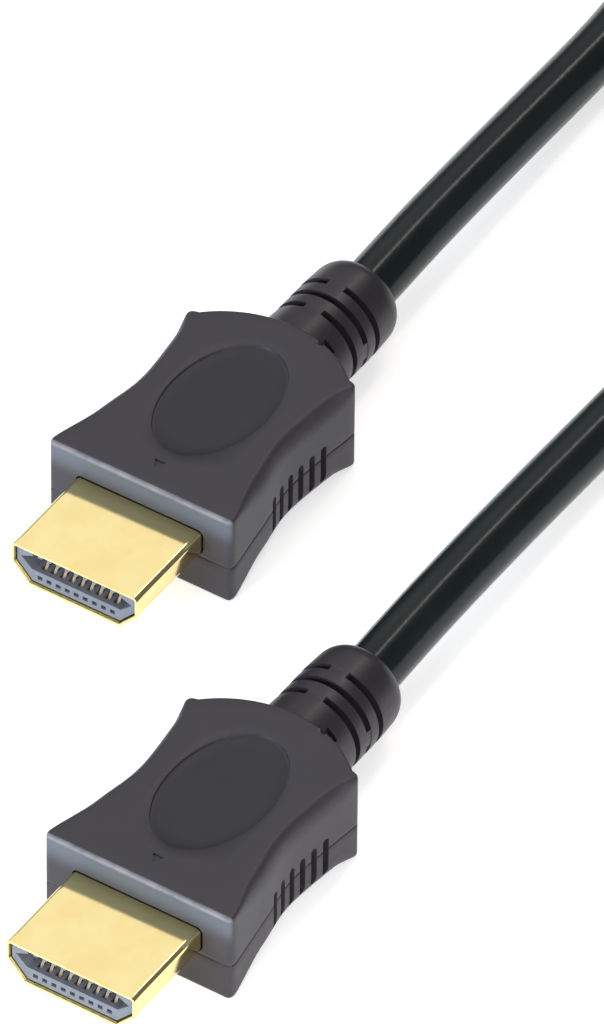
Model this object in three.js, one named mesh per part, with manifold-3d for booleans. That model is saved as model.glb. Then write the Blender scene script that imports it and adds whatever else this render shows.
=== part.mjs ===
// A digital video cable: two identical plugs on one round lead, whose spare length is folded into a tied hank.
// Millimetres, +Z up. The origin is on the floor, under plug A's body. Both plugs point to -Y.
import * as THREE from "three";
import { mergeVertices } from "three/addons/utils/BufferGeometryUtils.js";
import Module from "manifold-3d";

const wasm = await Module();
wasm.setup();

// Clearances
const seatGap = 0.3;
const carrierGap = 0.15;
const contactGap = 0.12;

// Metal shell of a plug: straight sides above, slanted sides below
const shellWidth = 13.9;
const shellHeight = 4.45;
const shellBottomWidth = 10.06;
const shellSideHeight = 2.33;
const shellSheet = 0.3;
const shellCorner = 0.5;
const shellReach = 10.76;
const shellTail = 4.2;

// Contact carrier in the shell, with the slot that takes the socket's tongue
const carrierRecess = 0.35;
const carrierTail = 3.8;
const slotDepth = 8.0;
const slotFloor = -0.39;
const slotRoof = 1.34;
const slotTipLevel = 0.7;
const slotFloorMargin = 0.75;
const slotRoofMargin = 0.05;
const slotWall = 0.4;
const windowWall = 0.5;

// Contacts: a row above and a row below the slot
const contactPitch = 1.0;
const upperCount = 10;
const lowerCount = 9;
const contactWidth = 0.3;
const contactThickness = 0.22;
const contactTip = 0.25;
const contactTail = 4.1;
const crownPlace = 1.9;
const crownLength = 0.4;
const springEnd = 5.0;
const upperRunLevel = 1.48;
const upperCrownLevel = 0.98;
const lowerRunLevel = -1.11;
const lowerCrownLevel = -0.05;

// Moulded body of a plug, waisted between its square nose and its rounded back
const bodyLength = 25.8;
const noseToOrigin = 12.3;
const bodyHeight = 10.0;
const noseWidth = 20.5;
const noseCorner = 1.2;
const noseBevel = 0.3;
const shoulderWidth = 18.4;
const shoulderPlace = 7.1;
const waistWidth = 16.86;
const waistPlace = 12.9;
const flareWidth = 18.7;
const flareToRim = 4.2;
const rimRadius = 12.2;
const rimWidth = 16.8;
const filletInset = 1.2;
const filletDrop = 2.0;
const filletGrowth = 7.0;
const filletFade = 3.5;
const ovalWidth = 10.4;
const ovalLength = 16.8;
const ovalPlace = 13.4;
const ovalDepth = 0.3;

// Grip slots down the lower half of each side
const gripCount = 6;
const gripPitch = 1.65;
const gripFirst = 9.2;
const gripWidth = 0.65;
const gripDepth = 0.6;
const gripTop = 0.5;
const gripBottom = -3.9;

// Slotted strain relief at the back of a plug
const reliefLength = 11.6;
const reliefRootRadius = 4.75;
const reliefEndRadius = 4.6;
const reliefRound = 2.0;
const reliefSeat = 3.0;
const reliefNeckRadius = 3.6;
const reliefBore = 7.0;
const ventFirst = 3.24;
const ventPitch = 1.9;
const ventRows = 3;
const ventWidth = 0.6;
const ventFloorRadius = 3.6;
const ventBridge = 25;

// Cable, and where the two plugs lie
const cableDiameter = 5.5;
const plugBOffset = [28.8, -43.3];

// Hank: two columns of turns in each side, three layers, drawn in to a waist where the tie is
const hankCentre = 13.6;
const hankNear = 109;
const hankHalfRun = 31.0;
const foldRadius = 17.4;
const waistHalf = 3.6;
const hankLayers = 3;
const tieWidth = 4.0;
const tieThickness = 0.9;

// Route of each lead from inside its strain relief to the hank
const leadAPoints = [
  [0, 18.8, 5], [0, 22, 5], [0, 25.4, 5], [-0.35, 33, 4.95], [-0.6, 41, 4.7], [-0.8, 49, 4.3], [-1, 57, 3.85],
  [-1.2, 64, 3.4], [-1.45, 70, 3.05], [-1.95, 76, 2.82], [-3.05, 82, 2.75], [-5, 88, 2.75], [-7.4, 94, 2.75], [-9, 100, 2.75],
];
const leadBPoints = [
  [28.8, -24.5, 5], [28.8, -21.3, 5], [28.8, -17.9, 5], [28.45, -10.3, 4.95], [28.2, -2.3, 4.7], [28, 5.7, 4.35],
  [27.85, 13.7, 3.9], [27.75, 21.7, 3.45], [27.75, 29.7, 3.2], [28, 37.7, 3.4], [28.6, 45.7, 4.4], [29.6, 53.7, 6.1],
  [30.95, 61.5, 8.3], [32.5, 69.3, 10.5], [34.1, 77.1, 12.7], [35.3, 84.9, 14.5], [36.1, 93, 15.7], [36.4, 101, 16.1],
];

const xAxis = new THREE.Vector3(1, 0, 0);
const yAxis = new THREE.Vector3(0, 1, 0);
const zAxis = new THREE.Vector3(0, 0, 1);
const shellTop = shellHeight / 2;
const tipPlace = -shellReach;
const flarePlace = bodyLength - flareToRim;
const slotFloorWidth = (lowerCount - 1) * contactPitch + contactWidth + 2 * slotFloorMargin;
const slotRoofWidth = (upperCount - 1) * contactPitch + contactWidth + 2 * slotRoofMargin;
const slotTipWidth = shellWidth - 2 * (shellSheet + carrierGap + slotWall);
const cableRadius = cableDiameter / 2;

// Materials
const material = (color, roughness, metalness) => new THREE.MeshStandardMaterial({ color, roughness, metalness });
const goldPlate = () => material(0xf2dc94, 0.25, 1.0);
const contactPlate = () => material(0xf5dcb8, 0.2, 1.0);
const carrierPlastic = () => material(0x7b8296, 0.5, 0);
const bodyPlastic = () => material(0x4b494e, 0.55, 0);
const reliefPlastic = () => material(0x464349, 0.55, 0);
const jacketPlastic = () => material(0x23282a, 0.2, 0);
const tiePlastic = () => material(0x18191b, 0.6, 0);

// Solids for cutting and joining
function solidOf(geometry) {
  const bare = geometry.clone();
  bare.deleteAttribute("normal");
  bare.deleteAttribute("uv");
  const merged = mergeVertices(bare, 1e-5);
  const vertProperties = new Float32Array(merged.attributes.position.array);
  const triVerts = new Uint32Array(merged.index.array);
  return new wasm.Manifold(new wasm.Mesh({ numProp: 3, vertProperties, triVerts }));
}

function geometryOf(solid) {
  const mesh = solid.getMesh();
  const geometry = new THREE.BufferGeometry();
  geometry.setAttribute("position", new THREE.BufferAttribute(new Float32Array(mesh.vertProperties), 3));
  geometry.setIndex(new THREE.BufferAttribute(new Uint32Array(mesh.triVerts), 1));
  return geometry;
}

function cut(geometry, tools) {
  return geometryOf(tools.reduce((solid, tool) => solid.subtract(solidOf(tool)), solidOf(geometry)));
}

// Outlines extruded along one axis
function alongY(shape, start, end, curveSegments = 4) {
  const geometry = new THREE.ExtrudeGeometry(shape, { depth: end - start, bevelEnabled: false, curveSegments });
  geometry.applyMatrix4(new THREE.Matrix4().makeBasis(xAxis, zAxis, yAxis.clone().negate()));
  return geometry.translate(0, end, 0);
}

function alongX(shape, start, end) {
  const geometry = new THREE.ExtrudeGeometry(shape, { depth: end - start, bevelEnabled: false });
  geometry.applyMatrix4(new THREE.Matrix4().makeBasis(yAxis, zAxis, xAxis));
  return geometry.translate(start, 0, 0);
}

function alongZ(shape, start, end, curveSegments = 12) {
  const geometry = new THREE.ExtrudeGeometry(shape, { depth: end - start, bevelEnabled: false, curveSegments });
  return geometry.translate(0, 0, start);
}

function boxBetween(low, high) {
  const size = high.map((value, k) => value - low[k]);
  const middle = high.map((value, k) => (value + low[k]) / 2);
  return new THREE.BoxGeometry(...size).translate(...middle);
}

function rodAlongY(radius, start, end) {
  return new THREE.CylinderGeometry(radius, radius, end - start, 24).translate(0, (start + end) / 2, 0);
}

const shapeOf = (points) => new THREE.Shape(points.map(([x, y]) => new THREE.Vector2(x, y)));

// A closed outline whose corners are rounded over a given length of each edge
function roundedShape(points, corner) {
  const shape = new THREE.Shape();
  points.forEach((point, k) => {
    const here = new THREE.Vector2(...point);
    const before = new THREE.Vector2(...points[(k + points.length - 1) % points.length]);
    const after = new THREE.Vector2(...points[(k + 1) % points.length]);
    const into = here.clone().addScaledVector(before.sub(here).normalize(), corner);
    const out = here.clone().addScaledVector(after.sub(here).normalize(), corner);
    if (k === 0) {
      shape.moveTo(into.x, into.y);
    } else {
      shape.lineTo(into.x, into.y);
    }
    shape.quadraticCurveTo(here.x, here.y, out.x, out.y);
  });
  shape.closePath();
  return shape;
}

// Section of the shell, drawn in by a distance, anticlockwise from the bottom left
function shellSection(inset) {
  const side = shellWidth / 2 - inset;
  const slantX = (shellWidth - shellBottomWidth) / 2;
  const slantZ = shellHeight - shellSideHeight;
  const slantLength = Math.hypot(slantX, slantZ);
  const top = shellTop - inset;
  const bottom = inset - shellTop;
  const shift = (inset * slantLength) / slantZ;
  const slantAt = (z) => shellBottomWidth / 2 - shift + ((z + shellTop) * slantX) / slantZ;
  const kneeZ = ((side - shellBottomWidth / 2 + shift) * slantZ) / slantX - shellTop;
  return [[-slantAt(bottom), bottom], [slantAt(bottom), bottom], [side, kneeZ], [side, top], [-side, top], [-side, kneeZ]];
}

function shellGeometry() {
  const section = roundedShape(shellSection(0), shellCorner);
  section.holes.push(roundedShape(shellSection(shellSheet), shellCorner - shellSheet));
  return alongY(section, tipPlace, shellTail, 3);
}

// Contact rows: x places of the contacts
const rowPlaces = (count) => Array.from({ length: count }, (_, k) => (k - (count - 1) / 2) * contactPitch);
const grooveHalf = contactWidth / 2 + contactGap;

function carrierGeometry() {
  const front = tipPlace + carrierRecess;
  const slotEnd = front + slotDepth;
  const body = alongY(shapeOf(shellSection(shellSheet + carrierGap)), front, carrierTail);
  const slot = alongY(shapeOf([
    [-slotFloorWidth / 2, slotFloor], [slotFloorWidth / 2, slotFloor], [slotTipWidth / 2, slotTipLevel],
    [slotRoofWidth / 2, slotRoof], [-slotRoofWidth / 2, slotRoof], [-slotTipWidth / 2, slotTipLevel],
  ]), front - 1, slotEnd);
  const upperFloor = upperRunLevel - contactThickness / 2 - contactGap;
  const upperGrooves = rowPlaces(upperCount).map((x) =>
    boxBetween([x - grooveHalf, front - 1, upperFloor], [x + grooveHalf, carrierTail + 1, shellTop]));
  const low = lowerRunLevel - contactThickness / 2 - contactGap;
  const high = lowerRunLevel + contactThickness / 2 + contactGap;
  const open = slotFloor + contactGap;
  const groove = shapeOf([
    [front - 1, low], [carrierTail + 1, low], [carrierTail + 1, high], [slotEnd, high],
    [slotEnd, open], [front + windowWall, open], [front + windowWall, high], [front - 1, high],
  ]);
  const lowerGrooves = rowPlaces(lowerCount).map((x) => alongX(groove, x - grooveHalf, x + grooveHalf));
  return cut(body, [slot, ...upperGrooves, ...lowerGrooves]);
}

// One contact: a flat strip that rises to a crown in the slot and runs back through the carrier
function contactGeometry(runLevel, crownLevel) {
  const front = tipPlace + carrierRecess;
  const half = contactThickness / 2;
  const line = [
    [front + contactTip, runLevel], [front + windowWall + contactGap, runLevel],
    [front + crownPlace - crownLength / 2, crownLevel], [front + crownPlace + crownLength / 2, crownLevel],
    [front + springEnd, runLevel], [contactTail, runLevel],
  ];
  const under = line.map(([y, z]) => [y, z - half]);
  const over = line.map(([y, z]) => [y, z + half]).reverse();
  return alongX(shapeOf([...under, ...over]), -contactWidth / 2, contactWidth / 2);
}

// Side of the body seen from above: half widths from nose to flare
const sideLine = new THREE.SplineCurve([
  new THREE.Vector2(noseWidth / 2, 0), new THREE.Vector2(shoulderWidth / 2, shoulderPlace),
  new THREE.Vector2(waistWidth / 2, waistPlace), new THREE.Vector2(flareWidth / 2, flarePlace),
]).getPoints(48);

function bodyHalfWidth(y) {
  const k = Math.max(1, sideLine.findIndex((point) => point.y >= y));
  const [a, b] = [sideLine[k - 1], sideLine[k]];
  return a.x + ((b.x - a.x) * (y - a.y)) / (b.y - a.y);
}

// Right half of the body's plan, from the middle of the nose to the middle of the back rim
function bodyHalfPlan() {
  const sideSteps = 10;
  const rimSteps = 6;
  const cornerSteps = 3;
  const startY = noseCorner;
  const start = new THREE.Vector2(bodyHalfWidth(startY), startY);
  const end = new THREE.Vector2(flareWidth / 2, flarePlace);
  const rimCentre = bodyLength - rimRadius;
  const rimAngle = Math.acos(rimWidth / 2 / rimRadius);
  const rimStart = new THREE.Vector2(rimWidth / 2, rimCentre + rimRadius * Math.sin(rimAngle));
  const noseBend = new THREE.QuadraticBezierCurve(
    new THREE.Vector2(noseWidth / 2 - noseCorner, 0), new THREE.Vector2(noseWidth / 2, 0), start);
  const backBend = new THREE.QuadraticBezierCurve(
    end, new THREE.Vector2(flareWidth / 2, (end.y + rimStart.y) / 2), rimStart);
  const side = Array.from({ length: sideSteps - 1 }, (_, k) => startY + ((end.y - startY) * (k + 1)) / sideSteps);
  const rim = Array.from({ length: rimSteps }, (_, k) => rimAngle + ((Math.PI / 2 - rimAngle) * (k + 1)) / rimSteps);
  return [
    new THREE.Vector2(0, 0),
    ...noseBend.getPoints(cornerSteps),
    ...side.map((y) => new THREE.Vector2(bodyHalfWidth(y), y)),
    ...backBend.getPoints(cornerSteps),
    ...rim.map((angle) => new THREE.Vector2(rimRadius * Math.cos(angle), rimCentre + rimRadius * Math.sin(angle))),
  ];
}

// Whole plan, anticlockwise, with the way out at each point
function bodyPlan() {
  const right = bodyHalfPlan();
  const left = right.slice(1, -1).reverse().map((point) => new THREE.Vector2(-point.x, point.y));
  const points = [...right, ...left];
  return points.map((point, k) => {
    const before = points[(k + points.length - 1) % points.length];
    const after = points[(k + 1) % points.length];
    const along = after.clone().sub(before).normalize();
    return { point, out: new THREE.Vector2(along.y, -along.x) };
  });
}

// The body's long edges are almost square at the nose, fully round behind it and square again at the back rim
function edgeGrowth(y) {
  const grown = THREE.MathUtils.smoothstep(y, 0, filletGrowth);
  return grown * (1 - THREE.MathUtils.smoothstep(y, flarePlace - filletFade / 2, flarePlace + filletFade / 2));
}

function bodyBlank() {
  const plan = bodyPlan();
  const steps = 3;
  const ring = (side, angle) => plan.map(({ point, out }) => {
    const grown = edgeGrowth(point.y);
    const inset = THREE.MathUtils.lerp(noseBevel, filletInset, grown);
    const drop = THREE.MathUtils.lerp(noseBevel, filletDrop, grown);
    const moved = point.clone().addScaledVector(out, -inset * (1 - Math.cos(angle)));
    return [moved.x, moved.y, side * (bodyHeight / 2 - drop * (1 - Math.sin(angle)))];
  });
  const angles = Array.from({ length: steps + 1 }, (_, k) => (k * Math.PI) / 2 / steps);
  const rings = [...angles.slice().reverse().map((a) => ring(-1, a)), ...angles.map((a) => ring(1, a))];
  const count = plan.length;
  const index = [];
  for (let r = 0; r + 1 < rings.length; r += 1) {
    for (let k = 0; k < count; k += 1) {
      const next = (k + 1) % count;
      const [a, b, c, d] = [r * count + k, r * count + next, (r + 1) * count + next, (r + 1) * count + k];
      index.push(a, b, c, a, c, d);
    }
  }
  const cap = (r, flip) => {
    const flat = rings[r].map(([x, y]) => new THREE.Vector2(x, y));
    THREE.ShapeUtils.triangulateShape(flat, []).forEach(([a, b, c]) => {
      const corners = flip ? [a, c, b] : [a, b, c];
      index.push(...corners.map((corner) => r * count + corner));
    });
  };
  cap(0, true);
  cap(rings.length - 1, false);
  const geometry = new THREE.BufferGeometry();
  geometry.setAttribute("position", new THREE.Float32BufferAttribute(rings.flat(2), 3));
  geometry.setIndex(index);
  return geometry;
}

function gripTools() {
  const places = Array.from({ length: gripCount }, (_, k) => gripFirst + k * gripPitch);
  return places.flatMap((y) => [-1, 1].map((side) => {
    const inner = bodyHalfWidth(y) - gripDepth;
    const xs = [side * inner, side * (inner + 3 * gripDepth)].sort((a, b) => a - b);
    return boxBetween([xs[0], y - gripWidth / 2, gripBottom], [xs[1], y + gripWidth / 2, gripTop]);
  }));
}

function bodyGeometry() {
  const shellPocket = alongY(roundedShape(shellSection(-seatGap), shellCorner), -1, shellTail + seatGap, 2);
  const pocketRadius = reliefNeckRadius + seatGap;
  const reliefPocket = rodAlongY(pocketRadius, bodyLength - reliefSeat - seatGap, bodyLength + 1);
  const oval = new THREE.Shape();
  oval.absellipse(0, ovalPlace, ovalWidth / 2, ovalLength / 2, 0, 2 * Math.PI, false, 0);
  const recess = alongZ(oval, bodyHeight / 2 - ovalDepth, bodyHeight, 14);
  return cut(bodyBlank(), [shellPocket, reliefPocket, recess, ...gripTools()]);
}

// Strain relief: a turned sleeve with vents cut most of the way round, in turn from the sides and from above
function ventTool(y, middle) {
  const half = THREE.MathUtils.degToRad(90 - ventBridge / 2);
  const sector = new THREE.Shape();
  sector.absarc(0, 0, reliefRootRadius + 1, middle - half, middle + half, false);
  sector.absarc(0, 0, ventFloorRadius, middle + half, middle - half, true);
  sector.closePath();
  return alongY(sector, y - ventWidth / 2, y + ventWidth / 2, 7);
}

function reliefGeometry() {
  const root = bodyLength - reliefSeat;
  const end = bodyLength + reliefLength;
  const rim = new THREE.Shape();
  rim.absarc(0, bodyLength - rimRadius, rimRadius + seatGap, 0, 2 * Math.PI, false);
  const boreRadius = cableRadius + seatGap;
  const rounding = [0, 1, 2, 3].map((k) => {
    const angle = (k * Math.PI) / 6;
    return [reliefEndRadius - reliefRound * 0.6 * (1 - Math.cos(angle)), end - reliefRound * (1 - Math.sin(angle))];
  });
  const profile = [
    [0, root], [reliefRootRadius, root], [reliefRootRadius, bodyLength], ...rounding,
    [boreRadius, end], [boreRadius, end - reliefBore], [0, end - reliefBore],
  ];
  const sleeve = new THREE.LatheGeometry(profile.map(([r, y]) => new THREE.Vector2(r, y)), 24);
  const vents = Array.from({ length: ventRows }, (_, k) => {
    const turn = k % 2 === 0 ? 0 : Math.PI / 2;
    const y = bodyLength + ventFirst + k * ventPitch;
    return [ventTool(y, turn), ventTool(y, turn + Math.PI)];
  });
  const rimTool = alongZ(rim, -bodyHeight, bodyHeight, 48);
  const neck = rodAlongY(reliefNeckRadius, root, bodyLength + 2 * seatGap);
  return geometryOf(solidOf(cut(sleeve, [rimTool, ...vents.flat()])).add(solidOf(neck)));
}

// A round tube along a smooth line through chosen points
function tubeGeometry(points, radius) {
  const curve = new THREE.CatmullRomCurve3(points.map((point) => new THREE.Vector3(...point)), false, "centripetal");
  const section = new THREE.Shape();
  section.absarc(0, 0, radius, 0, 2 * Math.PI, false);
  const steps = Math.round(curve.getLength() / (2 * cableDiameter));
  return new THREE.ExtrudeGeometry(section, { extrudePath: curve, steps, curveSegments: 10, bevelEnabled: false });
}

// Hank: each side is a fold, a waist arc that meets it smoothly and the other fold, at an offset from the inner turns
const outerOffset = cableDiameter;
const waistRadius = (hankHalfRun ** 2 + waistHalf ** 2 - foldRadius ** 2) / (2 * (foldRadius - waistHalf));
const waistCentre = waistHalf + waistRadius;
const meetAngle = Math.atan2(hankHalfRun, waistCentre);
const hankMiddle = hankNear + hankHalfRun;
const hankHeight = hankLayers * cableDiameter + tieThickness;
const tieInnerHalf = waistHalf + outerOffset + cableRadius;

function hankOutline(offset) {
  const fold = foldRadius + offset;
  const waist = waistRadius - offset;
  const outline = new THREE.Shape();
  outline.absarc(waistCentre, 0, waist, Math.PI + meetAngle, Math.PI - meetAngle, true);
  outline.absarc(0, hankHalfRun, fold, -meetAngle, Math.PI + meetAngle, false);
  outline.absarc(-waistCentre, 0, waist, meetAngle, -meetAngle, true);
  outline.absarc(0, -hankHalfRun, fold, Math.PI - meetAngle, 2 * Math.PI + meetAngle, false);
  return outline;
}

// The open eye inside each fold, narrowing towards the waist
function eyeHole(side) {
  const eyeEnd = 0.4;
  const fold = foldRadius - cableRadius;
  const waist = waistRadius + cableRadius;
  const turn = side > 0 ? 0 : Math.PI;
  const eye = new THREE.Path();
  const corner = (x, y) => new THREE.Vector2(x, y).rotateAround(new THREE.Vector2(), turn);
  const arcs = [
    [waistCentre, 0, waist, Math.PI - eyeEnd * meetAngle, Math.PI - meetAngle, true],
    [0, hankHalfRun, fold, -meetAngle, Math.PI + meetAngle, false],
    [-waistCentre, 0, waist, meetAngle, eyeEnd * meetAngle, true],
  ];
  arcs.forEach(([x, y, radius, start, end, clockwise]) => {
    const centre = corner(x, y);
    eye.absarc(centre.x, centre.y, radius, start + turn, end + turn, clockwise);
  });
  return eye;
}

function tieSection(half, low, high) {
  const corner = 2;
  return roundedShape([
    [hankCentre - half, low], [hankCentre + half, low], [hankCentre + half, high], [hankCentre - half, high],
  ], corner);
}

function tieGeometry() {
  const section = tieSection(tieInnerHalf + tieThickness, 0, hankHeight + tieThickness);
  section.holes.push(tieSection(tieInnerHalf, tieThickness, hankHeight));
  return alongY(section, hankMiddle - tieWidth / 2, hankMiddle + tieWidth / 2, 3);
}

// Room in the hank for the end of a lead
function leadPocket(points) {
  const [before, end] = points.slice(-2).map((point) => new THREE.Vector3(...point));
  const beyond = end.clone().add(end.clone().sub(before).setLength(2 * seatGap));
  return tubeGeometry([...points, beyond.toArray()], cableRadius + seatGap);
}

function hankGeometry() {
  const outline = hankOutline(outerOffset + cableRadius);
  outline.holes.push(eyeHole(1), eyeHole(-1));
  const blank = alongZ(outline, 0, hankHeight).translate(hankCentre, hankMiddle, 0);
  const around = 4;
  const collar = tieSection(tieInnerHalf + around, -around, hankHeight + around);
  collar.holes.push(tieSection(tieInnerHalf - seatGap, tieThickness + seatGap, hankHeight - seatGap));
  const reach = tieWidth / 2 + seatGap;
  const groove = alongY(collar, hankMiddle - reach, hankMiddle + reach, 3);
  return cut(blank, [groove, leadPocket(leadAPoints), leadPocket(leadBPoints)]);
}

// Assembly
function named(name, geometry, finish) {
  const mesh = new THREE.Mesh(geometry, finish);
  mesh.name = name;
  return mesh;
}

function contactRow(name, count, runLevel, crownLevel) {
  return rowPlaces(count).map((x, k) => {
    const contact = named(`${name}_${k + 1}`, contactGeometry(runLevel, crownLevel), contactPlate());
    contact.position.x = x;
    return contact;
  });
}

function plug(name, x, y) {
  const group = new THREE.Group();
  group.position.set(x, y - noseToOrigin, bodyHeight / 2);
  group.add(
    named(`${name}_shell`, shellGeometry(), goldPlate()),
    named(`${name}_contact_carrier`, carrierGeometry(), carrierPlastic()),
    ...contactRow(`${name}_upper_contact`, upperCount, upperRunLevel, upperCrownLevel),
    ...contactRow(`${name}_lower_contact`, lowerCount, lowerRunLevel, lowerCrownLevel),
    named(`${name}_body`, bodyGeometry(), bodyPlastic()),
    named(`${name}_strain_relief`, reliefGeometry(), reliefPlastic()),
  );
  return group;
}

const cable = new THREE.Group();
cable.add(
  plug("plug_a", 0, 0),
  plug("plug_b", ...plugBOffset),
  named("cable_lead_a", tubeGeometry(leadAPoints, cableRadius), jacketPlastic()),
  named("cable_lead_b", tubeGeometry(leadBPoints, cableRadius), jacketPlastic()),
  named("cable_hank", hankGeometry(), jacketPlastic()),
  named("hank_tie", tieGeometry(), tiePlastic()),
);

export default cable;
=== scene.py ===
import math
import bmesh
import bpy
from mathutils import Matrix, Quaternion, Vector


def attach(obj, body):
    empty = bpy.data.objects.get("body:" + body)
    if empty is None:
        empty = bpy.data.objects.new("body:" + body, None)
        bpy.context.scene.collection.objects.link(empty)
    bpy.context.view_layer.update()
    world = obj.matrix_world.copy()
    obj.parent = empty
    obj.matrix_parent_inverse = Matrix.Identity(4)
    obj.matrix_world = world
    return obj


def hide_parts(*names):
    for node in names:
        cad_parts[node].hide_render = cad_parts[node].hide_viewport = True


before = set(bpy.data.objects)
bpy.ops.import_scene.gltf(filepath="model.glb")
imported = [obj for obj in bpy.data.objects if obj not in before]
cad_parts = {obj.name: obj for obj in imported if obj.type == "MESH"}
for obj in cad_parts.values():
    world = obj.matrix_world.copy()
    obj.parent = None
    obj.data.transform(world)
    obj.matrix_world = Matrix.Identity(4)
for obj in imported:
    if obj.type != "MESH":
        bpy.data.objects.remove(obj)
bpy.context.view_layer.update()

# Camera: a long lens, above and to the right of the plugs, as the photograph sees them.
eye = Vector((0.64932, -0.98149, 1.098486))
sight = Vector((-0.39851, 0.61165, -0.68343))
camera_roll = 0.548
camera = bpy.data.objects.new("camera", bpy.data.cameras.new("camera"))
camera.location = eye
camera.rotation_mode = "QUATERNION"
camera.rotation_quaternion = sight.to_track_quat("-Z", "Y") @ Quaternion((0, 0, 1), math.radians(camera_roll))
camera.data.lens = 610.55
camera.data.sensor_width = 36
camera.data.clip_start = 0.05
camera.data.clip_end = 20
bpy.context.scene.collection.objects.link(camera)
bpy.context.scene.camera = camera


# The cable: a round 5.5 mm cable in a glossy extruded jacket, 1.5 m long, from one strain relief to the
# other. Its spare length is folded into a hank of four and a half turns, two side by side and three high.
class Wire:
    """A value in a material: sums and products of it become Math nodes."""

    def __init__(self, finish, socket):
        self.finish = finish
        self.socket = socket

    def _math(self, operation, first, second=0.0):
        return self.finish.node("ShaderNodeMath", {"operation": operation}, {0: first, 1: second})

    def __add__(self, other):
        return self._math("ADD", self, other)

    def __sub__(self, other):
        return self._math("SUBTRACT", self, other)

    def __rsub__(self, other):
        return self._math("SUBTRACT", other, self)

    def __mul__(self, other):
        return self._math("MULTIPLY", self, other)

    def __abs__(self):
        return self._math("ABSOLUTE", self)

    __radd__ = __add__
    __rmul__ = __mul__

    def ramp(self, low, high):
        """0 below low, 1 above high, smooth between; low may be the larger."""
        settings = {"interpolation_type": "SMOOTHSTEP"}
        return self.finish.node("ShaderNodeMapRange", settings, {0: self, 1: low, 2: high})


class Finish:
    """One material, made of nodes round its Principled shader."""

    def __init__(self, name, **plain):
        self.material = bpy.data.materials.new(name)
        self.material.use_nodes = True
        self.tree = self.material.node_tree
        self.shader = self.tree.nodes["Principled BSDF"]
        for socket, value in plain.items():
            self.shader.inputs[socket.replace("_", " ")].default_value = value

    def node(self, kind, settings, inputs, output=0):
        made = self.tree.nodes.new(kind)
        for name, value in settings.items():
            setattr(made, name, value)
        for socket, value in inputs.items():
            self.feed(made.inputs[socket], value)
        return Wire(self, made.outputs[output])

    def feed(self, socket, value):
        if isinstance(value, Wire):
            self.tree.links.new(value.socket, socket)
        else:
            socket.default_value = value

    def place(self):
        return self.node("ShaderNodeTexCoord", {}, {}, "Object")

    def along(self, axis):
        return self.node("ShaderNodeSeparateXYZ", {}, {0: self.place()}, axis)

    def noise(self, size, detail=2.0, stretch=(1, 1, 1)):
        """Cloudy noise from 0 to 1 whose blotches are about size metres across."""
        scaled = self.node("ShaderNodeVectorMath", {"operation": "MULTIPLY"}, {0: self.place(), 1: stretch})
        return self.node("ShaderNodeTexNoise", {}, {"Vector": scaled, "Scale": 1 / size, "Detail": detail})

    def mix(self, mask, first, second):
        return self.node("ShaderNodeMix", {"data_type": "RGBA"}, {0: mask, 6: first, 7: second}, 2)

    def bump(self, height, distance, strength=1.0):
        inputs = {"Height": height, "Distance": distance, "Strength": strength}
        self.feed(self.shader.inputs["Normal"], self.node("ShaderNodeBump", {}, inputs))

    def colour(self, value):
        self.feed(self.shader.inputs["Base Color"], value)

    def rough(self, value):
        self.feed(self.shader.inputs["Roughness"], value)


cable_thick = 5.5
hank_x, hank_y = 13.6, 109.0
fold, waist, half_run = 17.4, 3.6, 31.0103
tie_thick = 0.9
point_gap = 5.5
climb = 2.35
lead_a = [
    (0, 18.8, 5), (0, 22, 5), (0, 25.4, 5), (-0.35, 33, 4.95), (-0.6, 41, 4.7),
    (-0.8, 49, 4.3), (-1, 57, 3.85), (-1.2, 64, 3.4), (-1.45, 70, 3.05), (-1.95, 76, 2.82),
    (-3.05, 82, 2.75), (-5, 88, 2.75), (-7.4, 94, 2.75), (-9, 100, 2.75),
]
lead_b = [
    (28.8, -24.5, 5), (28.8, -21.3, 5), (28.8, -17.9, 5), (28.45, -10.3, 4.95), (28.2, -2.3, 4.7),
    (28, 5.7, 4.35), (27.85, 13.7, 3.9), (27.75, 21.7, 3.45), (27.75, 29.7, 3.2), (28, 37.7, 3.4),
    (28.6, 45.7, 4.4), (29.6, 53.7, 6.1), (30.95, 61.5, 8.3), (32.5, 69.3, 10.5), (34.1, 77.1, 12.7),
    (35.3, 84.9, 14.5), (36.1, 93, 15.7), (36.4, 101, 16.1),
]


def hank_side(side, column, height, up, rise=0.0):
    """One run between the folds: two fold arcs and the waist arc between them, evenly stepped."""
    waist_arc = (half_run ** 2 + waist ** 2 - fold ** 2) / (2 * (fold - waist))
    centre = waist + waist_arc
    turn = math.atan2(half_run, centre)
    outer = fold + column * cable_thick
    inner = waist_arc - column * cable_thick
    total = 2 * turn * (outer + inner)
    steps = round(total / point_gap)
    points = []
    for k in range(1, steps):
        s = total * k / steps - total / 2
        if abs(s) <= turn * inner:
            x, y = centre - inner * math.cos(s / inner), inner * math.sin(s / inner)
        else:
            a = turn - (abs(s) - turn * inner) / outer
            x, y = outer * math.cos(a), math.copysign(half_run - outer * math.sin(a), s)
        y = y if up else -y
        lift = tie_thick * (1 + math.cos(math.pi * y / half_run)) / 2
        t = min(1, max(0, 0.25 - y / half_run))
        points.append((hank_x + side * x, hank_y + half_run + y, height + lift + rise * (3 - 2 * t) * t * t))
    return points


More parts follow.
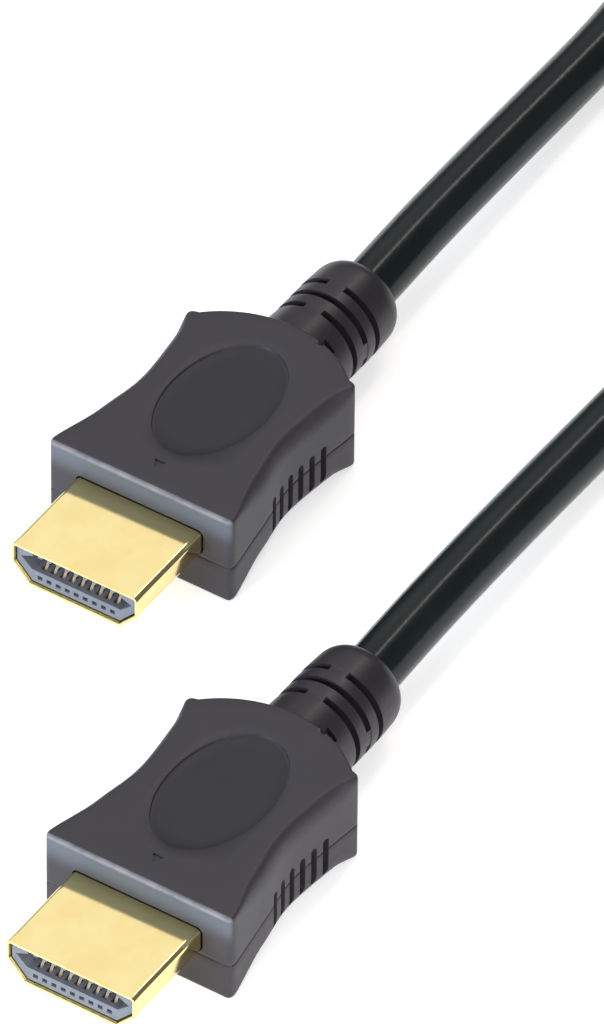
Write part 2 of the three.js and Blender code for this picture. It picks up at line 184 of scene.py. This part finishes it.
def hank_turns():
    low = cable_thick / 2
    points = [(hank_x - fold - cable_thick, hank_y, low)]
    places = [(1, 0), (0, 0), (0, 1), (1, 1), (1, 2)]
    widening = [0.5, 0, 0.5, 1]
    for k, (column, level) in enumerate(places):
        height = low + level * cable_thick
        radius = fold + column * cable_thick
        points += hank_side(-1, column, height, True)
        steps = round(math.pi * radius / point_gap)
        for j in range(steps + 1):
            a = math.pi - math.pi * j / steps
            far_y = hank_y + 2 * half_run + radius * math.sin(a)
            points.append((hank_x + radius * math.cos(a), far_y, height))
        points += hank_side(1, column, height, False, climb if k == 4 else 0)
        if k == 4:
            break
        steps = round(math.pi * (fold + widening[k] * cable_thick) / point_gap)
        for j in range(steps + 1):
            theta = math.pi * j / steps
            a = math.pi / 4 * (1 - math.cos(theta))
            over, across = cable_thick * math.sin(a), cable_thick * math.cos(a)
            radius = [fold + across, fold, fold + over, fold + over + across][k]
            height = low + [0, over, over + across, over + across + over][k]
            points.append((hank_x + radius * math.cos(theta), hank_y - radius * math.sin(theta), height))
    return points + [(hank_x + fold + cable_thick, hank_y, low + 2 * cable_thick + climb)]


route = lead_a + hank_turns() + lead_b[::-1]
line = bpy.data.curves.new("cable", "CURVE")
line.dimensions = "3D"
line.bevel_depth = cable_thick / 2000
line.bevel_resolution = 7
line.resolution_u = 5
line.use_fill_caps = True
spline = line.splines.new("NURBS")
spline.points.add(len(route) - 1)
for point, (x, y, z) in zip(spline.points, route):
    point.co = (x / 1000, y / 1000, z / 1000, 1)
spline.order_u = 4
spline.use_endpoint_u = True
cable = bpy.data.objects.new("cable", line)
bpy.context.scene.collection.objects.link(cable)

jacket = Finish("cable_jacket", IOR=1.5, Specular_IOR_Level=0.2)
cloud = jacket.noise(0.004, 3)
grain = jacket.noise(0.0005, 2)
jacket.colour(jacket.mix(cloud, (0.006, 0.010, 0.011, 1), (0.011, 0.017, 0.018, 1)))
jacket.rough(0.13 + 0.07 * cloud + 0.05 * grain)
jacket.bump(grain, 0.00001)
line.materials.append(jacket.material)
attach(cable, "root")
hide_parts("cable_lead_a", "cable_hank", "cable_lead_b")


# The tie: a woven strap that wraps the waist of the hank once and overlaps itself on top.
def mesh_piece(name, points, faces, finish=None, sharp=35):
    """A smooth-shaded piece from points in millimetres."""
    mesh = bpy.data.meshes.new(name)
    mesh.from_pydata([tuple(v / 1000 for v in point) for point in points], [], faces)
    mesh.validate()
    work = bmesh.new()
    work.from_mesh(mesh)
    bmesh.ops.recalc_face_normals(work, faces=work.faces)
    work.to_mesh(mesh)
    work.free()
    mesh.polygons.foreach_set("use_smooth", [True] * len(mesh.polygons))
    mesh.set_sharp_from_angle(angle=math.radians(sharp))
    if finish:
        mesh.materials.append(finish.material)
    piece = bpy.data.objects.new(name, mesh)
    bpy.context.scene.collection.objects.link(piece)
    return piece


def rings_piece(name, rings, closed_ends=True, **rest):
    """A skin through rings of equal count, one after the other, with a point or a face at each end."""
    count = len(rings[0])
    points = [point for ring in rings for point in ring]
    faces = []
    for r in range(len(rings) - 1):
        for k in range(count):
            n = (k + 1) % count
            faces.append((r * count + k, r * count + n, (r + 1) * count + n, (r + 1) * count + k))
    if closed_ends:
        for r in (0, len(rings) - 1):
            middle = [sum(point[a] for point in rings[r]) / count for a in range(3)]
            points.append(middle)
            faces += [(r * count + k, r * count + (k + 1) % count, len(points) - 1) for k in range(count)]
    else:
        last = (len(rings) - 1) * count
        faces += [(last + k, last + (k + 1) % count, (k + 1) % count, k) for k in range(count)]
    return mesh_piece(name, points, faces, **rest)


strap_wide, strap_thick = 4.0, 0.8
tie_y = hank_y + half_run
tie_half, tie_low, tie_high, tie_corner = 12.25, 0.45, 17.9, 2.4
strap_line = [(0.0, tie_high), (tie_half - tie_corner, tie_high)]
corners = [(1, tie_high - tie_corner, 90), (1, tie_low + tie_corner, 0), (-1, tie_low + tie_corner, -90),
           (-1, tie_high - tie_corner, -180)]
for side, z, start in corners:
    for step in range(7):
        a = math.radians(start - 15 * step)
        bend_x = side * (tie_half - tie_corner) + tie_corner * math.cos(a)
        strap_line.append((bend_x, z + tie_corner * math.sin(a)))
overlap_high = tie_high + strap_thick
strap_line += [(-4.0, tie_high), (-1.5, tie_high + 0.3), (1.0, overlap_high), (6.5, overlap_high)]
strap_rings = []
for k, (x, z) in enumerate(strap_line):
    before, after = strap_line[max(k - 1, 0)], strap_line[min(k + 1, len(strap_line) - 1)]
    way = Vector((after[0] - before[0], after[1] - before[1])).normalized()
    out = Vector((-way[1], way[0]))
    ring = []
    for step in range(16):
        a = 2 * math.pi * step / 16
        wide = math.copysign(abs(math.cos(a)) ** 0.35, math.cos(a)) * strap_wide / 2
        deep = math.copysign(abs(math.sin(a)) ** 0.6, math.sin(a)) * strap_thick / 2
        ring.append((hank_x + x + out[0] * deep, tie_y + wide, z + out[1] * deep))
    strap_rings.append(ring)
strap = Finish("tie_strap", Specular_IOR_Level=0.3)
weft = strap.node("ShaderNodeTexWave", {"bands_direction": "DIAGONAL"},
                  {"Vector": strap.place(), "Scale": 900.0, "Distortion": 1.5, "Detail": 2.0})
fuzz = strap.noise(0.0003, 3)
strap.colour(strap.mix(fuzz, (0.009, 0.009, 0.010, 1), (0.024, 0.024, 0.027, 1)))
strap.rough(0.75 + 0.2 * fuzz)
strap.bump(weft + 0.6 * fuzz, 0.00008, 0.8)
tie = rings_piece("hank_strap", strap_rings, finish=strap)
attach(tie, "root")
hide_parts("hank_tie")


# The metal shell of each plug: gold-plated sheet 0.3 mm thick, folded to the plug's outline, open at the
# front. Its edges at the mouth are rounded over, and its tail sits in the moulded body.
plug_places = {"plug_a": (0.0, 0.0), "plug_b": (28.8, -43.3)}
nose_y, middle_z = -12.3, 5.0


def on_both_plugs(piece, node):
    """Sets a piece made round the nose of a plug on both of them, in place of that node."""
    for plug, (x, y) in plug_places.items():
        copy = bpy.data.objects.new(f"{plug}_{piece.name}", piece.data)
        copy.location = (x / 1000, (y + nose_y) / 1000, middle_z / 1000)
        bpy.context.scene.collection.objects.link(copy)
        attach(copy, "root")
        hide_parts(f"{plug}_{node}")
    bpy.data.objects.remove(piece)


shell_half, shell_top, shell_foot, shell_knee = 6.95, 2.225, 5.03, -0.105
shell_reach, shell_tail, shell_sheet, shell_fold = 10.76, 4.2, 0.3, 0.55


def shell_outline(inset, fold_radius):
    """The shell's section, drawn in, with round folds: a list of (x, z)."""
    slope = (shell_half - shell_foot) / (shell_knee + shell_top)
    shift = inset * math.hypot(1, slope)
    side, top = shell_half - inset, shell_top - inset

    def slant(z):
        return shell_foot - shift + (z + shell_top) * slope

    knee = (side - shell_foot + shift) / slope - shell_top
    foot = slant(-top)
    corners = [(foot, -top), (side, knee), (side, top), (-side, top), (-side, knee), (-foot, -top)]
    points = []
    for k, corner in enumerate(corners):
        here, before, after = (Vector(corners[(k + step) % 6]) for step in (0, -1, 1))
        into, out = (before - here).normalized(), (after - here).normalized()
        half = into.angle(out) / 2
        reach = fold_radius / math.tan(half)
        centre = here + (into + out).normalized() * (fold_radius / math.sin(half))
        first, last = here + into * reach - centre, here + out * reach - centre
        for step in range(9):
            t = first.angle_signed(last) * step / 8
            points.append(tuple(centre + first @ Matrix.Rotation(t, 2)))
    return points


mouth = -shell_reach
shell_steps = [(0.0, shell_tail)] + [(0.0, mouth + 0.1 + 1.2 * k) for k in range(12, -1, -1)]
shell_steps += [(0.03, mouth + 0.03), (0.09, mouth), (0.2, mouth), (0.27, mouth + 0.03)]
shell_steps += [(shell_sheet, y) for y in (mouth + 0.1, mouth + 4, shell_tail)]
shell_rings = [[(x, y, z) for x, z in shell_outline(inset, shell_fold - inset)] for inset, y in shell_steps]
gold = Finish("gold_plate", Metallic=1.0)
stain = gold.noise(0.003, 4)
polish = gold.noise(0.0006, 3, (1, 0.25, 1))
gold.colour(gold.mix(stain.ramp(0.35, 0.75), (0.93, 0.77, 0.37, 1), (0.90, 0.72, 0.32, 1)))
gold.rough(0.06 + 0.05 * polish + 0.04 * stain)
gold.bump(polish, 0.000004, 0.6)
shell = rings_piece("shell", shell_rings, closed_ends=False, finish=gold)
on_both_plugs(shell, "shell")


# The contact carrier and its contacts: a satin grey moulding with ten grooves over the slot and nine under
# it. Each groove holds a stamped, gold-plated spring contact whose crown stands up into the slot.
carrier = Finish("carrier_plastic", Specular_IOR_Level=0.5)
mottle = carrier.noise(0.0008, 3)
carrier.colour(carrier.mix(mottle, (0.13, 0.14, 0.17, 1), (0.19, 0.205, 0.24, 1)))
carrier.rough(0.38 + 0.2 * mottle)
carrier.bump(mottle, 0.00002, 0.5)
spring = Finish("contact_plate", Metallic=1.0)
brushed = spring.noise(0.0003, 2, (1, 0.2, 1))
spring.colour(spring.mix(brushed, (0.98, 0.80, 0.60, 1), (0.92, 0.70, 0.48, 1)))
spring.rough(0.16 + 0.12 * brushed)
spring.bump(brushed, 0.000004, 0.5)
for node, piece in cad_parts.items():
    if "contact_carrier" in node:
        piece.data.materials.clear()
        piece.data.materials.append(carrier.material)
    elif "_contact_" in node:
        piece.data.materials.clear()
        piece.data.materials.append(spring.material)


# The moulded body of each plug: black plastic with a fine matt skin, moulded round the shell and the cable's
# end. Its mould leaves a parting line round nose and sides, an oval recess, an arrow and grip slots.
body_long, body_half_high = 25.8, 5.0
nose_half, nose_corner, nose_bevel = 10.25, 1.2, 0.3
flare = (9.35, 21.6)
side_points = [(nose_half, 0), (9.2, 7.1), (8.43, 12.9), flare]
rim_radius, rim_half = 12.2, 8.4
oval_y, oval_half_wide, oval_half_long, oval_deep = 13.4, 5.2, 8.4, 0.3
edge_inset, edge_drop, edge_growth = 1.2, 2.0, 7.0
edge_fade_start, edge_fade = flare[1] - 2.6, 3.5
grip_first, grip_pitch, grip_count = 9.2, 1.65, 6
grip_half, grip_deep, grip_top, grip_foot = 0.325, 0.6, 0.5, -3.9
parting_z, parting_half, parting_deep = -0.93, 0.13, 0.12
grip_places = [grip_first + grip_pitch * k for k in range(grip_count)]


def smooth(t):
    t = min(1.0, max(0.0, t))
    return t * t * (3 - 2 * t)


def side_curve():
    """The side of the body from above, as dense (half width, y) points on one smooth line."""
    points = [Vector(p) for p in side_points]
    dense = []
    for k in range(3):
        p0, p1, p2, p3 = (points[min(max(k + s, 0), 3)] for s in (-1, 0, 1, 2))
        v1, v2 = (p2 - p0) / 2, (p3 - p1) / 2
        for step in range(40):
            t = step / 40
            cubic, square = 2 * p1 - 2 * p2 + v1 + v2, 3 * p2 - 3 * p1 - 2 * v1 - v2
            dense.append(cubic * t ** 3 + square * t ** 2 + v1 * t + p1)
    return dense + [points[3]]


side_line = side_curve()


def half_width(y):
    k = next((i for i, p in enumerate(side_line) if p[1] >= y), len(side_line) - 1)
    a, b = side_line[max(k - 1, 0)], side_line[max(k, 1)]
    return a[0] + (b[0] - a[0]) * (y - a[1]) / (b[1] - a[1])


def bend(a, b, c, steps):
    """A soft corner from a to c, drawn towards b."""
    a, b, c = Vector(a), Vector(b), Vector(c)
    return [a * (1 - t) ** 2 + b * 2 * t * (1 - t) + c * t * t for t in (k / steps for k in range(steps + 1))]


def body_outline():
    """The body from above, from the middle of the nose round the right side to the back and home."""
    nose = [Vector((x, 0)) for x in (0, 1.5, 3, 4.5, 6, 7.2, 8.2)]
    corner_end = (half_width(nose_corner), nose_corner)
    corner = bend((nose_half - nose_corner * 0.6, 0), (nose_half, 0), corner_end, 8)
    stations = {round(nose_corner + 0.5 * k, 3) for k in range(1, 40)}
    stations = {y for y in stations if all(abs(y - g) > grip_half + 0.15 for g in grip_places)}
    for g in grip_places:
        steps = (0.2, grip_half, grip_half + 0.07)
        stations |= {g} | {g + step for step in steps} | {g - step for step in steps}
    side = [Vector((half_width(y), y)) for y in sorted(stations) if y < flare[1] - 0.1]
    rim_centre = body_long - rim_radius
    start = math.acos(rim_half / rim_radius)
    rim_start = (rim_half, rim_centre + rim_radius * math.sin(start))
    back = bend(flare, (flare[0], (flare[1] + rim_start[1]) / 2 + 0.3), rim_start, 8)
    arc = [start + (math.pi / 2 - start) * (k + 1) / 14 for k in range(14)]
    rim = [Vector((rim_radius * math.cos(a), rim_centre + rim_radius * math.sin(a))) for a in arc]
    right = nose + corner + side + back + rim
    return right + [Vector((-p[0], p[1])) for p in right[-2:0:-1]]


outline = body_outline()
ways = [(outline[(k + 1) % len(outline)] - outline[k - 1]).normalized() for k in range(len(outline))]
outs = [Vector((way[1], -way[0])) for way in ways]


def edge_size(y):
    return smooth(y / edge_growth) * (1 - smooth((y - edge_fade_start) / edge_fade))


def body_ring(z):
    """The skin of the body at one height, with its rounded edges, parting line and grip slots."""
    ring = []
    for point, out in zip(outline, outs):
        grown = edge_size(point[1])
        inset = nose_bevel + (edge_inset - nose_bevel) * grown
        drop = nose_bevel + (edge_drop - nose_bevel) * grown
        over = max(0.0, abs(z) - (body_half_high - drop)) / drop
        depth = inset * (1 - math.sqrt(max(0.0, 1 - over * over)))
        depth += parting_deep * max(0.0, 1 - abs(z - parting_z) / parting_half)
        if abs(point[0]) > 7:
            for g in grip_places:
                off = abs(point[1] - g)
                rounding = 0.25 * (off / grip_half) ** 2
                if off < grip_half + 0.01 and grip_foot + rounding <= z <= grip_top - rounding:
                    depth += grip_deep
        place = point - out * depth
        ring.append((place[0], place[1], z))
    return ring


def oval_ring(share, z, spread=0.0):
    """Points where rays from the oval's middle to the outline cross the oval, scaled and widened."""
    ring = []
    for point in outline:
        ray = point - Vector((0, oval_y))
        cross = 1 / math.hypot(ray[0] / oval_half_wide, ray[1] / oval_half_long)
        place = ray * cross
        place = place * share + place.normalized() * spread
        ring.append((place[0], oval_y + place[1], z))
    return ring


def between(ring, other, t):
    return [tuple(a + (b - a) * t for a, b in zip(p, q)) for p, q in zip(ring, other)]


levels = [5, 4.985, 4.95, 4.9, 4.82, 4.7, 4.5, 4.2, 3.85, 3.5, 3.2, 3.0, 2.2, 1.2, 0.58]
levels += [0.5, 0.42, 0.33, 0.25, -0.4, -0.78, -0.83, -0.88, -0.93, -0.98, -1.03, -1.08, -1.8, -2.6]
levels += [-3.0, -3.3, -3.65, -3.75, -3.83, -3.9, -3.98, -4.2, -4.5, -4.7, -4.82, -4.9, -4.95, -4.985, -5]
top, floor_z = body_half_high, body_half_high - oval_deep
top_ring = body_ring(top)
rim_ring = oval_ring(1, top, 0.06)
body_rings = [oval_ring(share, floor_z) for share in (0.15, 0.5, 0.8)]
oval_wall = [(floor_z, -0.14), (floor_z + 0.03, -0.07), (top - 0.04, -0.01)]
body_rings += [oval_ring(1, z, spread) for z, spread in oval_wall]
body_rings += [rim_ring] + [between(rim_ring, top_ring, t) for t in (0.25, 0.5, 0.75)]
body_rings += [body_ring(z) for z in levels]
foot_ring = body_rings[-1]
foot_middle = [(0, oval_y, -top)] * len(outline)
body_rings += [between(foot_ring, foot_middle, t) for t in (0.3, 0.6, 0.9)]

moulded = Finish("body_plastic", Specular_IOR_Level=0.42)
skin = moulded.noise(0.00018, 3)
flow = moulded.noise(0.004, 3)
across, back, up = (moulded.along(axis) for axis in "XYZ")
# Painted highlight: a pale line along the nose's top front edge, broken up by noise.
front_edge = (1 - abs(back - 0.00015).ramp(0.0001, 0.0003)) * up.ramp(0.0045, 0.0048)
painted_edge_highlight = front_edge * moulded.noise(0.0025, 2).ramp(0.25, 0.6)
plain = moulded.mix(flow, (0.029, 0.026, 0.033, 1), (0.037, 0.033, 0.041, 1))
# Painted shade: the floor of the oval recess is coloured darker.
oval_x = across * (1000 / oval_half_wide)
oval_along = (back - oval_y / 1000) * (1000 / oval_half_long)
oval_painted_shade = 1 - (oval_x * oval_x + oval_along * oval_along).ramp(0.90, 0.99)
oval_painted_shade = oval_painted_shade * up.ramp(0.0044, 0.0046)
plain = moulded.mix(oval_painted_shade, plain, (0.015, 0.0135, 0.018, 1))
# Painted sheen: the upper part of the nose face is coloured a lighter blue-grey.
nose_painted_sheen = (1 - back.ramp(0.0002, 0.0005)) * up.ramp(0.0015, 0.0042)
plain = moulded.mix(0.8 * nose_painted_sheen, plain, (0.115, 0.130, 0.160, 1))
moulded.colour(moulded.mix(painted_edge_highlight, plain, (0.24, 0.22, 0.23, 1)))
moulded.rough(0.40 + 0.12 * skin + 0.06 * flow)
moulded.bump(skin, 0.00002, 0.6)


def carve(piece, tools):
    """Cuts the tools out of a piece for good, and removes them."""
    for tool in tools:
        cut = piece.modifiers.new("cut", "BOOLEAN")
        cut.object = tool
        cut.solver = "EXACT"
    bpy.context.view_layer.update()
    result = bpy.data.meshes.new_from_object(piece.evaluated_get(bpy.context.evaluated_depsgraph_get()))
    piece.modifiers.clear()
    piece.data = result
    piece.data.polygons.foreach_set("use_smooth", [True] * len(piece.data.polygons))
    piece.data.set_sharp_from_angle(angle=math.radians(35))
    for tool in tools:
        bpy.data.objects.remove(tool)


def circle(radius, y, steps=48):
    turns = [2 * math.pi * k / steps for k in range(steps)]
    return [(radius * math.cos(a), y, radius * math.sin(a)) for a in turns]


def block(name, low, high):
    corners = [(low[0], low[1]), (high[0], low[1]), (high[0], high[1]), (low[0], high[1])]
    return rings_piece(name, [[(x, y, z) for x, y in corners] for z in (low[2], high[2])])


body = rings_piece("body", body_rings, finish=moulded)
shell_gap = [[(x, y, z) for x, z in shell_outline(-0.12, shell_fold + 0.12)] for y in (-1, 4.6)]
boot_gap = [circle(4.83, 22.4), circle(4.83, 27)]
arrow = [(-0.62, 3.5), (0.62, 3.5), (0.0, 2.45)]
arrow_rings = [[(x, y, z) for x, y in arrow] for z in (top - 0.16, top + 1)]
notch = block("notch", (2.9, 24.75, 3.6), (3.75, 26.4, 6))
carve(body, [rings_piece("shell_gap", shell_gap), rings_piece("boot_gap", boot_gap),
             rings_piece("arrow", arrow_rings), notch])
on_both_plugs(body, "body")


# The strain relief of each plug: a flexible sleeve moulded over the cable behind the body. Three rows of
# vents are cut most of the way round it, bridged in turn above and below and at the sides.
boot_front, boot_end = 22.7, 37.4
boot_root, boot_tip, boot_floor, boot_bore = 4.75, 4.6, 3.6, 2.82
vent_places = [29.04, 30.94, 32.84]
vent_half, vent_reach = 0.3, math.radians(77.5)
lip = 0.07
turns = {math.radians(5 * k) for k in range(72)}
for quarter in range(4):
    for side in (-1, 1):
        edge = quarter * math.pi / 2 + side * vent_reach
        turns |= {(edge + step) % (2 * math.pi) for step in (-side * 0.03, -side * 0.001, side * 0.015)}
turns = sorted(turns)


def boot_ring(y, radius):
    ring = []
    for turn in turns:
        r = radius
        for k, vent in enumerate(vent_places):
            middles = (0, math.pi) if k % 2 == 0 else (math.pi / 2, -math.pi / 2)
            off = min(abs((turn - middle + math.pi) % (2 * math.pi) - math.pi) for middle in middles)
            if off < vent_reach and abs(y - vent) < vent_half + 0.01:
                r = boot_floor
        ring.append((r * math.cos(turn), y, r * math.sin(turn)))
    return ring


boot_rings = [boot_ring(y, boot_root) for y in (boot_front, body_long, 28.0)]
lip_steps = [(-0.3 - vent_half, 0.05), (-lip - vent_half, 0.06), (-vent_half, 0.13)]
lip_steps += [(-step, fall) for step, fall in reversed(lip_steps)]
for vent in vent_places:
    boot_rings += [boot_ring(vent + step, boot_root - fall) for step, fall in lip_steps]
for step in range(9):
    a = math.pi / 16 * step
    boot_rings.append(boot_ring(boot_end - 2 * (1 - math.sin(a)), boot_tip - 1.2 * (1 - math.cos(a))))
bore_steps = [(0, 3.1), (0.05, 2.95), (0.2, boot_bore), (5, boot_bore)]
boot_rings += [boot_ring(boot_end - depth, radius) for depth, radius in bore_steps]
rubber = Finish("strain_relief_plastic", Specular_IOR_Level=0.4)
haze = rubber.noise(0.003, 3)
matt = rubber.noise(0.00018, 3)
rubber.colour(rubber.mix(haze, (0.018, 0.015, 0.020, 1), (0.026, 0.021, 0.027, 1)))
rubber.rough(0.30 + 0.12 * matt + 0.06 * haze)
rubber.bump(matt, 0.000015, 0.6)
boot = rings_piece("strain_relief", boot_rings, finish=rubber)
carve(boot, [block("notch_foot", (2.8, 25.4, 2.2), (3.85, 26.8, 6))])
on_both_plugs(boot, "strain_relief")


# Floor and light: a plain white floor, a soft white sky above and behind, and grey low on the right.
bpy.context.scene.view_settings.view_transform = "Standard"
bpy.ops.mesh.primitive_grid_add(x_subdivisions=4, y_subdivisions=4, size=8, location=(0, 0, -0.00005))
ground = bpy.context.object
ground.name = "floor"
paper = Finish("floor_paper", Specular_IOR_Level=0.0, Emission_Color=(1, 1, 1, 1), Emission_Strength=0.55)
fibre = paper.noise(0.02, 2)
paper.colour(paper.mix(fibre, (0.90, 0.90, 0.90, 1), (0.92, 0.92, 0.92, 1)))
paper.rough(0.9 + 0.05 * fibre)
ground.data.materials.append(paper.material)

world = bpy.data.worlds.new("studio")
bpy.context.scene.world = world
world.use_nodes = True
sky = world.node_tree
backdrop = sky.nodes["Background"]
direction = sky.nodes.new("ShaderNodeTexCoord")
tilt = sky.nodes.new("ShaderNodeVectorMath")
tilt.operation = "DOT_PRODUCT"
tilt.inputs[1].default_value = (-0.45, 0.10, 0.89)
fade = sky.nodes.new("ShaderNodeValToRGB")
sky.links.new(direction.outputs["Generated"], tilt.inputs[0])
sky.links.new(tilt.outputs["Value"], fade.inputs[0])
sky.links.new(fade.outputs[0], backdrop.inputs[0])
fade.color_ramp.elements[0].position = 0.60
fade.color_ramp.elements[0].color = (0.15, 0.15, 0.16, 1)
fade.color_ramp.elements[1].position = 0.82
fade.color_ramp.elements[1].color = (1, 1, 1, 1)
backdrop.inputs[1].default_value = 1.05


def soft_box(name, place, aim, wide, high, watts, colour):
    lamp = bpy.data.lights.new(name, "AREA")
    lamp.shape = "RECTANGLE"
    lamp.size, lamp.size_y = wide, high
    lamp.energy = watts
    lamp.color = colour
    box = bpy.data.objects.new(name, lamp)
    box.location = place
    box.rotation_mode = "QUATERNION"
    box.rotation_quaternion = (Vector(aim) - Vector(place)).to_track_quat("-Z", "Y")
    bpy.context.scene.collection.objects.link(box)


soft_box("side_light", (0.9, -0.5, 0.35), (0, 0, 0), 0.7, 0.5, 7.0, (1.0, 0.97, 0.95))
soft_box("front_light", (-0.3, -1.1, 0.30), (0, 0, 0), 0.6, 0.3, 14.0, (0.72, 0.86, 1.0))
soft_box("strip_light", (-0.04, 0.80, 1.02), (0.02, 0.02, 0), 0.10, 0.9, 2.2, (1.0, 0.95, 0.84))
